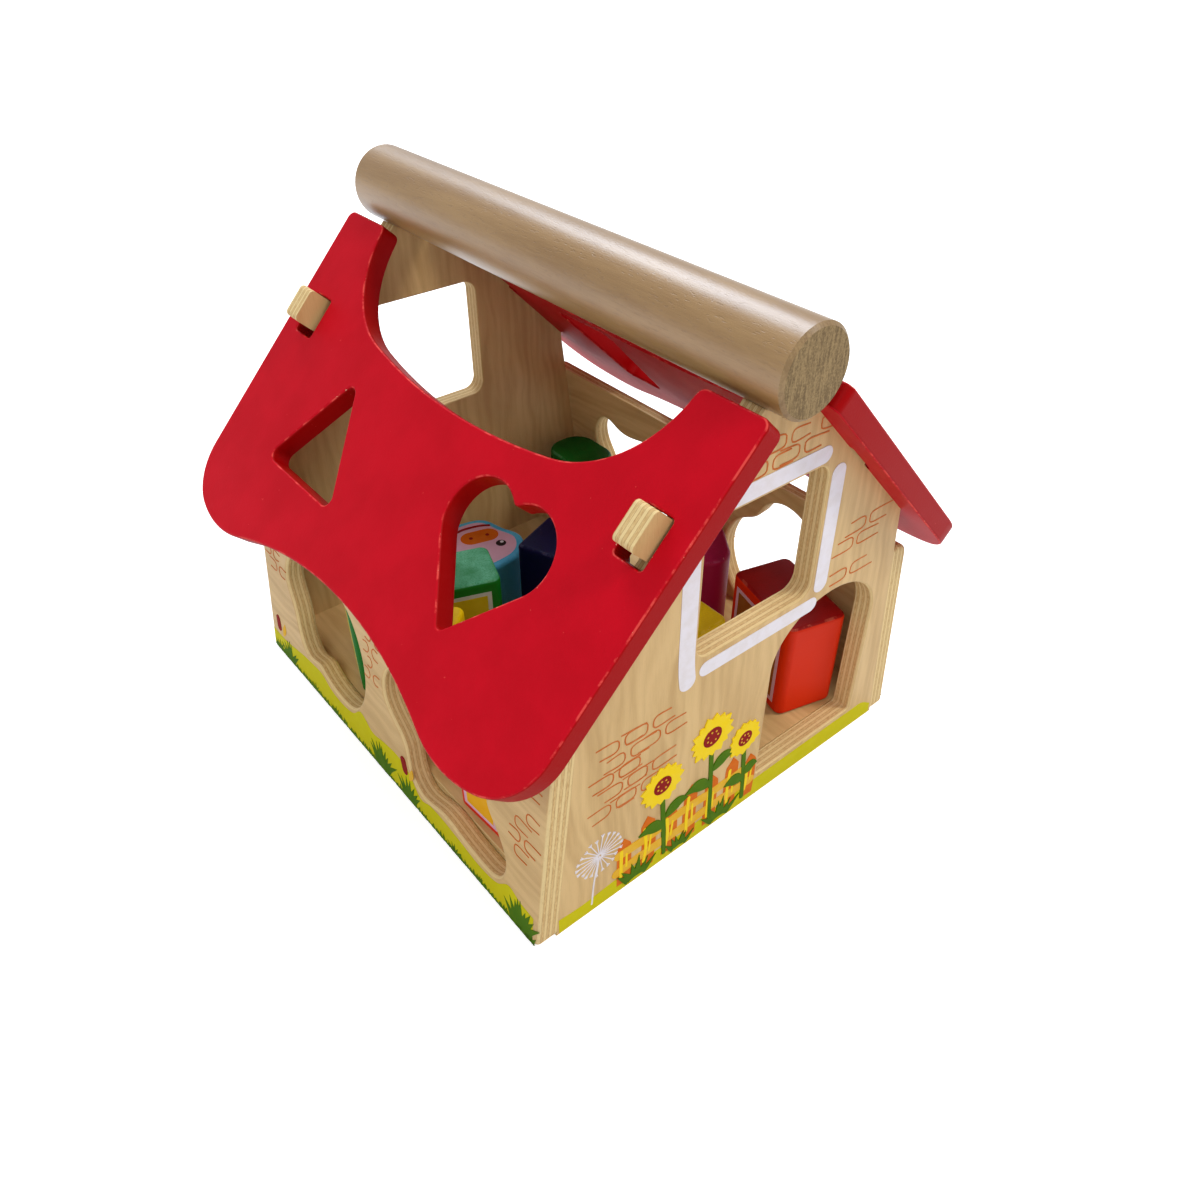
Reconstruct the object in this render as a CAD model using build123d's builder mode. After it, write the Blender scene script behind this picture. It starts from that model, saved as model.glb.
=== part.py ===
from build123d import *
from math import cos, radians, sin, sqrt, tan
import os

# A wooden toy house that sorts shapes. Two plywood gables stand between two
# side walls that lean inward, a round ridge rod doubles as the handle, and two
# red roof boards hook over tabs on the gables and lift off. Painted blocks lie
# loose inside. Millimetres, +Z up, ridge along Y, front gable towards -Y,
# origin on the ground under the middle of the house.

# House shell
BASE_WIDTH = 204.0
HOUSE_LENGTH = 224.0
RIDGE_HEIGHT = 199.5
ROOF_PITCH = 45.5
WALL_LEAN = 6.8
WALL_PLY = 9.0
GABLE_PLY = 9.0
FLOOR_PLY = 9.0
ROOF_PLY = 9.0

# Easing of the sanded edges, and the clearance of parts that slip past others
EDGE_EASE = 1.8
ROOF_EASE = 1.0
SMALL_EASE = 0.9
GAP = 0.3

# Side walls: the square top stops short of the roof boards
EAVE_SLIT = 5.9
WALL_SHOULDER = 6.0
WALL_FOOT_ROUND = 3.0

# Gables: tabs for the roof boards, window and door. The heights of the window and the door
# are those on a gable whose ridge is this high, and keep their share of any other
DRAWN_RIDGE_HEIGHT = 199.5
TAB_START = 63.4
TAB_LENGTH = 14.4
LEFT_TAB_PROUD = 8.2
RIGHT_TAB_PROUD = -0.6
TAB_ROUND = 2.0
WINDOW_WIDTH = 58.0
WINDOW_SILL = 102.0
WINDOW_HEIGHT = 56.5
WINDOW_ROUND = 6.0
DOOR_CENTRE = 43.8
DOOR_WIDTH = 60.5
DOOR_SILL = 13.0
DOOR_SPRING = 58.5
DOOR_ARCH = 25.0
DOOR_ROUND = 1.5

# Roof boards, measured down the slope from the line where their faces would meet
BOARD_OVERHANG = 10.7
BOARD_TOP = 25.2
BOARD_NOTCH_REACH = 153.2
BOARD_LOBE_REACH = 169.3
LOBE_PLACE = 89.0
LOBE_RADIUS = 52.0
LOBE_CORNER = 25.0
LEG_ROUND = 3.5
HAND_ARC_WIDTH = 188.0
HAND_ARC_REACH = 73.2
HAND_ARC_RADIUS = 296.0
HAND_ARC_CORNER = 46.0
SLOT_ROUND = 1.5
SLOT_OUTER_GAP = 0.8
SLOT_INNER_GAP = 3.0
SLOT_LOWER_GAP = 3.5

# Sorting holes in the roof boards, each so far below the deepest point of the hand arc
HOLE_PLACE = 55.0
TRIANGLE_ARC_GAP = 10.8
TRIANGLE_SIDE = 54.5
TRIANGLE_ROUND = 3.5
HEART_LOBE_RADIUS = 15.9
HEART_LOBE_PLACE = 11.4
HEART_ARC_GAP = 9.9
HEART_LENGTH = 38.0
HEART_ROUND = 2.4
TAPER_PLACE = 47.0
TAPER_ARC_GAP = 4.8
TAPER_LENGTH = 57.0
TAPER_TOP_WIDTH = 36.0
TAPER_END_WIDTH = 24.0
TAPER_ROUND = 4.0
ROUND_HOLE_RADIUS = 22.0
ROUND_HOLE_ARC_GAP = 12.8

# Ridge rod
RIDGE_RADIUS = 15.0
RIDGE_LIFT = 3.6
RIDGE_OVERHANG = 10.2
RIDGE_CHAMFER = 1.2
SEAT_GAP = 0.1

# Hidden glued pins
PIN_GAP = 0.05
CORNER_PIN_RADIUS = 2.0
CORNER_PIN_IN_WALL = 6.0
CORNER_PIN_IN_GABLE = 8.0
CORNER_PIN_HEIGHTS = (22.0, 88.0)
FLOOR_PIN_RADIUS = 2.5
FLOOR_PIN_IN_WALL = 6.0
FLOOR_PIN_IN_FLOOR = 14.0
FLOOR_PIN_END_ROOM = 7.0
RIDGE_PIN_RADIUS = 2.5
RIDGE_PIN_IN_GABLE = 12.0
RIDGE_PIN_IN_ROD = 12.0

# Painted blocks: widths, depths and heights, turned in degrees about +Z
BLOCK_TALL = 50.0
BLOCK_LOW = 30.0
BLOCK_EASE = 2.0
BLOCK_ROUND = 4.0
WALL_ROOM = 0.8
ORANGE_WIDTH = 29.5
ORANGE_DEPTH = 47.0
ORANGE_TURN = -15.0
ORANGE_JAMB_ROOM = 0.45
ORANGE_GABLE_ROOM = 0.5
MAROON_WIDTH = 29.0
MAROON_DEPTH = 36.0
MAROON_TURN = -35.0
MAROON_ROUND = 11.0
MAROON_OFFSET = (-3.9, 54.0)
SAND_WIDTH = 22.0
SAND_DEPTH = 19.0
SAND_OFFSET = (-44.0, 13.6)
NAVY_WIDTH = 28.9
NAVY_DEPTH = 46.0
NAVY_TURN = 20.7
NAVY_ROUND = 2.5
NAVY_PLACE = (15.5, 13.0)
FOREST_WIDTH = 26.0
FOREST_DEPTH = 34.0
FOREST_ROUND = 11.0
FOREST_REAR_ROOM = 7.6
GREEN_LENGTH = 68.3
GREEN_THICKNESS = 28.3
GREEN_TURN = -20.0
GREEN_PLACE = 36.9
YELLOW_SIDE = 25.0
YELLOW_TURN = 40.0
YELLOW_PLACE = 7.5
RED_WIDTH = 27.5
RED_DEPTH = 30.0
RED_TURN = 3.0
RED_GABLE_ROOM = 44.5
# Across the house, and how far in front of the rear gable
SKY_OUTLINE = (
    (16.2, 45.5), (7.6, 56.4), (-10.0, 59.2), (-27.5, 55.8), (-41.0, 46.0), (-44.5, 33.0),
    (-36.0, 21.0), (-19.0, 15.4), (-1.0, 15.8), (9.6, 20.4), (13.6, 33.0),
)

# Irregular openings in the side walls, along the wall and up its face, as drawn on a wall
# of this length and height; they keep their share of any other wall
DRAWN_WALL_LENGTH = 224.0
DRAWN_WALL_HEIGHT = 100.04
REAR_OPENING = (
    (-57.8, 19.0), (-49.0, 15.6), (-38.6, 14.6), (-27.3, 17.0), (-18.2, 28.5), (-15.2, 42.5),
    (-19.6, 59.6), (-28.0, 70.0), (-36.5, 75.6), (-43.8, 86.0), (-53.5, 90.7), (-64.0, 88.0),
)
LEFT_WALL_END = (
    (-74.5, 79.0), (-83.0, 66.5), (-87.0, 52.5), (-81.2, 39.8), (-77.6, 26.3), (-70.8, 18.2),
)
RIGHT_WALL_END = (
    (-71.5, 79.5), (-75.5, 67.0), (-76.5, 52.5), (-75.0, 39.8), (-72.5, 27.0), (-66.8, 19.6),
)
FRONT_OPENING = (
    (1.8, 51.8), (5.9, 40.3), (18.4, 29.8), (21.6, 19.2), (29.5, 11.7), (44.9, 14.2),
    (60.5, 13.1), (74.0, 12.0), (84.6, 14.0), (89.2, 24.5), (83.0, 38.0), (75.6, 48.0),
    (80.6, 62.0), (79.6, 75.5), (72.4, 82.2), (62.5, 79.0), (51.0, 78.4), (38.0, 80.4),
    (22.0, 75.0), (8.6, 64.0),
)

# Sizes that follow from the ones above
pitch = radians(ROOF_PITCH)
lean = radians(WALL_LEAN)
half_length = HOUSE_LENGTH / 2
half_base = BASE_WIDTH / 2
inner_length = HOUSE_LENGTH - 2 * GABLE_PLY
gable_middle = half_length - GABLE_PLY / 2
floor_top = DOOR_SILL
floor_bottom = floor_top - FLOOR_PLY
roof_apex = RIDGE_HEIGHT + ROOF_PLY / cos(pitch)
rod_height = RIDGE_HEIGHT + RIDGE_LIFT
board_half_length = half_length + BOARD_OVERHANG
slot_length = GAP + TAB_LENGTH + SLOT_LOWER_GAP
slot_width = SLOT_INNER_GAP + GABLE_PLY + SLOT_OUTER_GAP
gable_share = RIDGE_HEIGHT / DRAWN_RIDGE_HEIGHT
window_sill = WINDOW_SILL * gable_share
window_height = WINDOW_HEIGHT * gable_share
door_spring = DOOR_SPRING * gable_share
door_arch = DOOR_ARCH * gable_share
triangle_top = HAND_ARC_REACH + TRIANGLE_ARC_GAP
heart_lobe_reach = HAND_ARC_REACH + HEART_ARC_GAP + HEART_LOBE_RADIUS
heart_tip = heart_lobe_reach + HEART_LENGTH
taper_top = HAND_ARC_REACH + TAPER_ARC_GAP
round_hole_reach = HAND_ARC_REACH + ROUND_HOLE_ARC_GAP + ROUND_HOLE_RADIUS


def wall_inner_x(height):
    """Distance from the middle plane to the inner face of a side wall."""
    return half_base - WALL_PLY / cos(lean) - height * tan(lean)


def wall_outer_x(height):
    """Distance from the middle plane to the outer face of a side wall."""
    return half_base - height * tan(lean)


def meet_slope(face_x, slope_drop):
    """Where a wall face meets a line parallel to the roof, slope_drop below the gable slope."""
    crown = RIDGE_HEIGHT - slope_drop / cos(pitch)
    x = (face_x(0) - crown * tan(lean)) / (1 - tan(lean) * tan(pitch))
    return x, crown - x * tan(pitch)


def on_slope(side, reach, rise):
    """Point on the gable plane, reach down the roof from its apex and rise above its face."""
    x = reach * cos(pitch) + rise * sin(pitch)
    return side * x, roof_apex - reach * sin(pitch) + rise * cos(pitch)


# The left wall's plane looks outward with its height up the wall. The right
# wall is a board like it turned half round.
left_wall_plane = Plane(
    origin=(-half_base, 0, 0), x_dir=(0, -1, 0), z_dir=(-cos(lean), 0, sin(lean))
)
left_slope = Plane(origin=(0, 0, roof_apex), x_dir=(0, -1, 0), z_dir=(-sin(pitch), 0, cos(pitch)))
right_slope = Plane(origin=(0, 0, roof_apex), x_dir=(0, 1, 0), z_dir=(sin(pitch), 0, cos(pitch)))
outward = Axis((0, 0, 0), (-cos(lean), 0, sin(lean)))
front_face = Plane.XZ.offset(half_length)
rear_face = Plane.XZ.offset(-half_length)


def opening_edges(face):
    """Edges of the openings in a face."""
    return [edge for wire in face.inner_wires() for edge in wire.edges()]


def slot_edges(face):
    """Edges of the two tab slots in the face of a roof board."""
    slots = [wire for wire in face.inner_wires() if wire.length < 2 * (slot_length + slot_width)]
    return [edge for wire in slots for edge in wire.edges()]


def board_edges(face):
    """Edges of a roof board's outline and of its sorting holes."""
    slots = slot_edges(face)
    return [edge for edge in face.edges() if edge not in slots]


def write(builder, name):
    """Label a finished piece and write its file."""
    builder.part.label = name
    export_step(builder.part, f"parts/{name}.step")


def pin_starts(heights, places, depth):
    """Planes at the outer ends of pins that cross the inner face of each side wall."""
    planes = []
    for side in (-1, 1):
        inward = Vector(-side * cos(lean), 0, -sin(lean))
        for height in heights:
            for place in places:
                crossing = Vector(side * wall_inner_x(height), place, height)
                planes.append(
                    Plane(origin=crossing - inward * depth, x_dir=(0, 1, 0), z_dir=inward)
                )
    return planes


def pin_group(planes, radius, length):
    """Round pins, or the holes for them, one from each plane."""
    with BuildPart() as group:
        with BuildSketch(*planes):
            Circle(radius)
        extrude(amount=length)
    return group.part


def wall_opening(points):
    """Closed smooth opening of a side wall, on the wall's plane."""
    along = HOUSE_LENGTH / DRAWN_WALL_LENGTH
    up = wall_face_height / DRAWN_WALL_HEIGHT
    with BuildSketch() as opening:
        with BuildLine():
            Spline(*[(place * along, height * up) for place, height in points], periodic=True)
        make_face()
    return opening.sketch


def gable_outline():
    """Gable with its roof tabs and its seat for the ridge rod, without door or window."""
    eave_x, eave_z = meet_slope(wall_inner_x, 0)
    with BuildSketch() as outline:
        with BuildLine():
            Polyline(
                (-wall_inner_x(0), 0),
                (wall_inner_x(0), 0),
                (eave_x, eave_z),
                (0, RIDGE_HEIGHT),
                (-eave_x, eave_z),
                close=True,
            )
        make_face()
        tab_root = 2 * TAB_ROUND
        for side, proud in ((-1, LEFT_TAB_PROUD), (1, RIGHT_TAB_PROUD)):
            tab_height = proud + ROOF_PLY + tab_root
            middle = on_slope(side, TAB_START + TAB_LENGTH / 2, proud - tab_height / 2)
            with Locations(Location((*middle, 0), (0, 0, -side * ROOF_PITCH))):
                RectangleRounded(TAB_LENGTH, tab_height, TAB_ROUND)
        with Locations((0, rod_height)):
            Circle(RIDGE_RADIUS + SEAT_GAP, mode=Mode.SUBTRACT)
    return outline.sketch


def gable_window():
    """Window in the upper half of a gable."""
    with BuildSketch() as window:
        with Locations((0, window_sill + window_height / 2)):
            RectangleRounded(WINDOW_WIDTH, window_height, WINDOW_ROUND)
    return window.sketch


def door_opening():
    """Door with a low elliptical arch over upright jambs."""
    with BuildSketch() as door:
        with Locations((DOOR_CENTRE, DOOR_SILL + door_spring / 2)):
            Rectangle(DOOR_WIDTH, door_spring)
        fillet(door.vertices().group_by(Axis.Y)[0], DOOR_ROUND)
        with Locations((DOOR_CENTRE, DOOR_SILL + door_spring)):
            Ellipse(DOOR_WIDTH / 2, door_arch)
    return door.sketch


def board_outline():
    """Roof board seen square to its face: two legs at the ridge, two lobes at the eave."""
    lobe_drop = BOARD_LOBE_REACH - BOARD_NOTCH_REACH
    both_radii = (LOBE_PLACE**2 + lobe_drop**2) / (2 * lobe_drop)
    notch_radius = both_radii - LOBE_RADIUS
    lobe_centre = BOARD_LOBE_REACH - LOBE_RADIUS
    join_x = LOBE_PLACE * notch_radius / both_radii
    join_reach = BOARD_NOTCH_REACH + notch_radius - sqrt(notch_radius**2 - join_x**2)
    side_offset = board_half_length - LOBE_PLACE
    side_reach = lobe_centre + sqrt(LOBE_RADIUS**2 - side_offset**2)
    slot_x = half_length + SLOT_OUTER_GAP - slot_width / 2
    slot_reach = TAB_START - GAP + slot_length / 2
    with BuildSketch() as outline:
        with BuildLine():
            Polyline(
                (-board_half_length, -side_reach),
                (-board_half_length, -BOARD_TOP),
                (board_half_length, -BOARD_TOP),
                (board_half_length, -side_reach),
            )
            ThreePointArc(
                (board_half_length, -side_reach),
                (LOBE_PLACE, -BOARD_LOBE_REACH),
                (join_x, -join_reach),
            )
            ThreePointArc(
                (join_x, -join_reach), (0, -BOARD_NOTCH_REACH), (-join_x, -join_reach)
            )
            ThreePointArc(
                (-join_x, -join_reach),
                (-LOBE_PLACE, -BOARD_LOBE_REACH),
                (-board_half_length, -side_reach),
            )
        make_face()
        corners = outline.vertices().filter_by_position(
            Axis.Y, -side_reach - GAP, -side_reach + GAP
        )
        fillet(corners, LOBE_CORNER)
        add(hand_arc(), mode=Mode.SUBTRACT)
        fillet(outline.vertices().group_by(Axis.Y)[-1], LEG_ROUND)
        with Locations((-slot_x, -slot_reach), (slot_x, -slot_reach)):
            RectangleRounded(slot_width, slot_length, SLOT_ROUND, mode=Mode.SUBTRACT)
    return outline.sketch


def hand_arc():
    """Shallow valley cut out of a roof board so that a hand can close round the ridge rod."""
    with BuildSketch() as valley:
        with Locations((0, HAND_ARC_RADIUS - HAND_ARC_REACH)):
            Circle(HAND_ARC_RADIUS)
        Rectangle(HAND_ARC_WIDTH, 2 * HAND_ARC_RADIUS, mode=Mode.INTERSECT)
        fillet(valley.vertices().group_by(Axis.Y)[0], HAND_ARC_CORNER)
    return valley.sketch


def triangle_hole():
    """Triangle with its point towards the ridge."""
    height = TRIANGLE_SIDE * sqrt(3) / 2
    with BuildSketch() as hole:
        with BuildLine():
            Polyline(
                (0, -triangle_top),
                (TRIANGLE_SIDE / 2, -triangle_top - height),
                (-TRIANGLE_SIDE / 2, -triangle_top - height),
                close=True,
            )
        make_face()
        fillet(hole.vertices(), TRIANGLE_ROUND)
    return hole.sketch


def heart_hole():
    """Heart with its tip towards the eave: two circles and their tangents from the tip."""
    to_tip = sqrt(HEART_LOBE_PLACE**2 + HEART_LENGTH**2)
    tangent = sqrt(to_tip**2 - HEART_LOBE_RADIUS**2)
    lobe = Vector(HEART_LOBE_PLACE, HEART_LENGTH)
    turn = lobe.get_angle(Vector(0, 1)) + Vector(HEART_LOBE_RADIUS, tangent).get_angle(Vector(0, 1))
    touch_x = tangent * sin(radians(turn))
    touch_reach = heart_tip - tangent * cos(radians(turn))
    with BuildSketch() as hole:
        with BuildLine():
            Polyline(
                (0, -heart_tip),
                (touch_x, -touch_reach),
                (HEART_LOBE_PLACE, -heart_lobe_reach),
                (-HEART_LOBE_PLACE, -heart_lobe_reach),
                (-touch_x, -touch_reach),
                close=True,
            )
        make_face()
        with Locations(
            (HEART_LOBE_PLACE, -heart_lobe_reach), (-HEART_LOBE_PLACE, -heart_lobe_reach)
        ):
            Circle(HEART_LOBE_RADIUS)
        middle = hole.vertices().filter_by_position(Axis.X, -GAP, GAP)
        fillet(middle, HEART_ROUND)
    return hole.sketch


def taper_hole():
    """Tapering hole, narrower towards the eave."""
    with BuildSketch() as hole:
        with BuildLine():
            Polyline(
                (-TAPER_TOP_WIDTH / 2, -taper_top),
                (TAPER_TOP_WIDTH / 2, -taper_top),
                (TAPER_END_WIDTH / 2, -taper_top - TAPER_LENGTH),
                (-TAPER_END_WIDTH / 2, -taper_top - TAPER_LENGTH),
                close=True,
            )
        make_face()
        fillet(hole.vertices(), TAPER_ROUND)
    return hole.sketch


corner_pins_at = pin_starts(CORNER_PIN_HEIGHTS, (-gable_middle, gable_middle), CORNER_PIN_IN_WALL)
corner_pin_length = CORNER_PIN_IN_WALL + CORNER_PIN_IN_GABLE
corner_pin_holes = pin_group(corner_pins_at, CORNER_PIN_RADIUS + PIN_GAP, corner_pin_length)
end_pin_place = inner_length / 2 - FLOOR_PIN_END_ROOM
floor_pins_at = pin_starts(
    (floor_top - FLOOR_PLY / 2,), (-end_pin_place, 0, end_pin_place), FLOOR_PIN_IN_WALL
)
floor_pin_length = FLOOR_PIN_IN_WALL + FLOOR_PIN_IN_FLOOR
floor_pin_holes = pin_group(floor_pins_at, FLOOR_PIN_RADIUS + PIN_GAP, floor_pin_length)
ridge_pin_bottom = rod_height - RIDGE_RADIUS - RIDGE_PIN_IN_GABLE
ridge_pins_at = [
    Plane(origin=(0, place, ridge_pin_bottom)) for place in (-gable_middle, gable_middle)
]
ridge_pin_length = RIDGE_PIN_IN_GABLE + RIDGE_PIN_IN_ROD
ridge_pin_holes = pin_group(ridge_pins_at, RIDGE_PIN_RADIUS + PIN_GAP, ridge_pin_length)

os.makedirs("parts", exist_ok=True)

# Side walls: a leaning board with a flat foot, a top cut square and two
# irregular openings
outer_top_x, outer_top_z = meet_slope(wall_outer_x, EAVE_SLIT)
inner_top_x = outer_top_x - WALL_PLY * cos(lean)
inner_top_z = outer_top_z - WALL_PLY * sin(lean)
wall_face_height = outer_top_z / cos(lean)


def wall_board(opening_end):
    """Side wall as it stands on the left, its first opening closed by the points given."""
    with BuildPart() as board:
        with BuildSketch(Plane.XZ) as section:
            with BuildLine():
                Polyline(
                    (-half_base, 0),
                    (-wall_inner_x(0), 0),
                    (-inner_top_x, inner_top_z),
                    (-outer_top_x, outer_top_z),
                    close=True,
                )
            make_face()
            fillet(section.vertices().sort_by(Axis.Y)[-1], WALL_SHOULDER)
        extrude(amount=half_length, both=True)
        foot_corners = board.edges().filter_by(Axis.X).group_by(Axis.Z)[0]
        fillet(foot_corners, WALL_FOOT_ROUND)
        with BuildSketch(left_wall_plane):
            add(wall_opening(REAR_OPENING + opening_end))
            add(wall_opening(FRONT_OPENING))
        extrude(amount=-WALL_PLY, mode=Mode.SUBTRACT)
        board_faces = board.faces().filter_by(lambda face: len(face.inner_wires()) == 2)
        fillet([edge for face in board_faces for edge in opening_edges(face)], EDGE_EASE)
        upright = board.faces().sort_by(outward)[-1].edges().filter_by(
            lambda edge: abs(edge.tangent_at(0.5).Y) < 0.5 and edge.length > inner_top_z / 2
        )
        fillet(upright, EDGE_EASE)
        add(corner_pin_holes, mode=Mode.SUBTRACT)
        add(floor_pin_holes, mode=Mode.SUBTRACT)
    return board


left_wall = wall_board(LEFT_WALL_END)
write(left_wall, "left_wall")

with BuildPart() as right_wall:
    add(wall_board(RIGHT_WALL_END).part, rotation=(0, 0, 180))
write(right_wall, "right_wall")

# Gables: cut from ply with their tabs, standing between the side walls
with BuildPart() as front_gable:
    with BuildSketch(front_face):
        add(gable_outline())
        add(gable_window(), mode=Mode.SUBTRACT)
        add(door_opening(), mode=Mode.SUBTRACT)
    extrude(amount=-GABLE_PLY)
    gable_faces = front_gable.faces().filter_by(lambda face: len(face.inner_wires()) == 2)
    fillet([edge for face in gable_faces for edge in opening_edges(face)], SMALL_EASE)
    add(corner_pin_holes, mode=Mode.SUBTRACT)
    add(ridge_pin_holes, mode=Mode.SUBTRACT)
write(front_gable, "front_gable")

with BuildPart() as rear_gable:
    with BuildSketch(rear_face):
        add(gable_outline())
        add(gable_window(), mode=Mode.SUBTRACT)
    extrude(amount=GABLE_PLY)
    gable_faces = rear_gable.faces().filter_by(lambda face: len(face.inner_wires()) == 1)
    fillet([edge for face in gable_faces for edge in opening_edges(face)], SMALL_EASE)
    add(corner_pin_holes, mode=Mode.SUBTRACT)
    add(ridge_pin_holes, mode=Mode.SUBTRACT)
write(rear_gable, "rear_gable")

# Floor panel between the walls and the gables, raised clear of the ground
with BuildPart() as floor_panel:
    with BuildSketch(Plane.XZ):
        with BuildLine():
            Polyline(
                (-wall_inner_x(floor_bottom), floor_bottom),
                (wall_inner_x(floor_bottom), floor_bottom),
                (wall_inner_x(floor_top), floor_top),
                (-wall_inner_x(floor_top), floor_top),
                close=True,
            )
        make_face()
    extrude(amount=inner_length / 2, both=True)
    add(floor_pin_holes, mode=Mode.SUBTRACT)
write(floor_panel, "floor_panel")

# Ridge rod that carries the house by hand, seated in both gables
with BuildPart() as ridge_rod:
    with BuildSketch(Plane.XZ.offset(half_length + RIDGE_OVERHANG)):
        with Locations((0, rod_height)):
            Circle(RIDGE_RADIUS)
    extrude(amount=-2 * (half_length + RIDGE_OVERHANG))
    chamfer(ridge_rod.edges().filter_by(GeomType.CIRCLE), RIDGE_CHAMFER)
    add(ridge_pin_holes, mode=Mode.SUBTRACT)
write(ridge_rod, "ridge_rod")

# Roof boards, alike but for their sorting holes
with BuildPart() as left_roof:
    with BuildSketch(left_slope):
        add(board_outline())
        with Locations((-HOLE_PLACE, 0)):
            add(triangle_hole(), mode=Mode.SUBTRACT)
        with Locations((HOLE_PLACE, 0)):
            add(heart_hole(), mode=Mode.SUBTRACT)
    extrude(amount=-ROOF_PLY)
    both_faces = left_roof.faces().filter_by(lambda face: len(face.inner_wires()) == 4)
    fillet([edge for face in both_faces for edge in board_edges(face)], ROOF_EASE)
    both_faces = left_roof.faces().filter_by(lambda face: len(face.inner_wires()) == 4)
    fillet([edge for face in both_faces for edge in slot_edges(face)], SMALL_EASE)
write(left_roof, "left_roof")

with BuildPart() as right_roof:
    with BuildSketch(right_slope):
        add(board_outline())
        with Locations((TAPER_PLACE, 0)):
            add(taper_hole(), mode=Mode.SUBTRACT)
        with Locations((-HOLE_PLACE, -round_hole_reach)):
            Circle(ROUND_HOLE_RADIUS, mode=Mode.SUBTRACT)
    extrude(amount=-ROOF_PLY)
    both_faces = right_roof.faces().filter_by(lambda face: len(face.inner_wires()) == 4)
    fillet([edge for face in both_faces for edge in board_edges(face)], ROOF_EASE)
    both_faces = right_roof.faces().filter_by(lambda face: len(face.inner_wires()) == 4)
    fillet([edge for face in both_faces for edge in slot_edges(face)], SMALL_EASE)
write(right_roof, "right_roof")

# Painted blocks, loose on the floor panel
tall_inner_x = wall_inner_x(floor_top + BLOCK_TALL)
foot_inner_x = wall_inner_x(floor_top)


def half_span(width, depth, turn):
    """Half the room that a turned rectangle takes across the house."""
    angle = radians(abs(turn))
    return (width * cos(angle) + depth * sin(angle)) / 2


def turned_rectangle(centre, width, depth, turn=0.0, corner=BLOCK_ROUND):
    """Footprint of a block with rounded upright edges."""
    with BuildSketch() as footprint:
        with Locations(Location((*centre, 0), (0, 0, turn))):
            RectangleRounded(width, depth, corner)
    return footprint.sketch


def write_block(name, footprint, height):
    """Block on the floor panel with eased top and bottom edges."""
    with BuildPart() as block:
        with BuildSketch(Plane.XY.offset(floor_top)):
            add(footprint)
        extrude(amount=height)
        fillet(block.faces().filter_by(Axis.Z).edges(), BLOCK_EASE)
    write(block, name)


# The orange block stands just inside the door and can slide out along its own length
door_jamb = DOOR_CENTRE + DOOR_WIDTH / 2
orange_corner = Vector(door_jamb - ORANGE_JAMB_ROOM, ORANGE_GABLE_ROOM - inner_length / 2)
to_middle = Vector(-ORANGE_WIDTH / 2, ORANGE_DEPTH / 2).rotate(Axis.Z, ORANGE_TURN)
orange_centre = (orange_corner.X + to_middle.X, orange_corner.Y + to_middle.Y)
write_block(
    "orange_block",
    turned_rectangle(orange_centre, ORANGE_WIDTH, ORANGE_DEPTH, ORANGE_TURN),
    BLOCK_TALL,
)

maroon_centre = (orange_centre[0] + MAROON_OFFSET[0], orange_centre[1] + MAROON_OFFSET[1])
write_block(
    "maroon_block",
    turned_rectangle(maroon_centre, MAROON_WIDTH, MAROON_DEPTH, MAROON_TURN, MAROON_ROUND),
    BLOCK_TALL,
)

sand_centre = (orange_centre[0] + SAND_OFFSET[0], orange_centre[1] + SAND_OFFSET[1])
write_block("sand_block", turned_rectangle(sand_centre, SAND_WIDTH, SAND_DEPTH), BLOCK_TALL)

write_block(
    "navy_block",
    turned_rectangle(NAVY_PLACE, NAVY_WIDTH, NAVY_DEPTH, NAVY_TURN, NAVY_ROUND),
    BLOCK_TALL,
)

forest_centre = (
    tall_inner_x - WALL_ROOM - FOREST_WIDTH / 2,
    inner_length / 2 - FOREST_REAR_ROOM - FOREST_DEPTH / 2,
)
write_block(
    "forest_block",
    turned_rectangle(forest_centre, FOREST_WIDTH, FOREST_DEPTH, corner=FOREST_ROUND),
    BLOCK_TALL,
)

# The green and the red block reach a little into the openings of the left wall
green_span = half_span(GREEN_LENGTH, GREEN_THICKNESS, GREEN_TURN)
green_centre = (-foot_inner_x + WALL_ROOM + green_span, GREEN_PLACE)
write_block(
    "green_block",
    turned_rectangle(green_centre, GREEN_LENGTH, GREEN_THICKNESS, GREEN_TURN),
    BLOCK_TALL,
)

yellow_span = half_span(YELLOW_SIDE, YELLOW_SIDE, YELLOW_TURN)
yellow_centre = (-tall_inner_x + WALL_ROOM + yellow_span, YELLOW_PLACE)
write_block(
    "yellow_block",
    turned_rectangle(yellow_centre, YELLOW_SIDE, YELLOW_SIDE, YELLOW_TURN),
    BLOCK_TALL,
)

red_span = half_span(RED_WIDTH, RED_DEPTH, RED_TURN)
red_centre = (-foot_inner_x + WALL_ROOM + red_span, RED_GABLE_ROOM - inner_length / 2)
write_block("red_block", turned_rectangle(red_centre, RED_WIDTH, RED_DEPTH, RED_TURN), BLOCK_LOW)

sky_points = [(across, inner_length / 2 - room) for across, room in SKY_OUTLINE]
with BuildSketch() as sky_footprint:
    with BuildLine():
        Spline(*sky_points, periodic=True)
    make_face()
write_block("sky_block", sky_footprint.sketch, BLOCK_LOW)

# Glued pins hidden in the joints
for pin_name, starts, radius, length in (
    ("corner_pins", corner_pins_at, CORNER_PIN_RADIUS, corner_pin_length),
    ("floor_pins", floor_pins_at, FLOOR_PIN_RADIUS, floor_pin_length),
    ("ridge_pins", ridge_pins_at, RIDGE_PIN_RADIUS, ridge_pin_length),
):
    with BuildPart() as pins:
        add(pin_group(starts, radius, length))
    write(pins, pin_name)
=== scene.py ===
"""Toy house shape sorter, dressed: birch plywood with its layers and grain, worn red paint on the
roof boards, a turned ridge rod, painted blocks and the prints on walls and blocks as thin films."""

from math import cos, pi, radians, sin

import bmesh
import bpy
import numpy as np
from mathutils import Matrix, Vector


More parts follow.
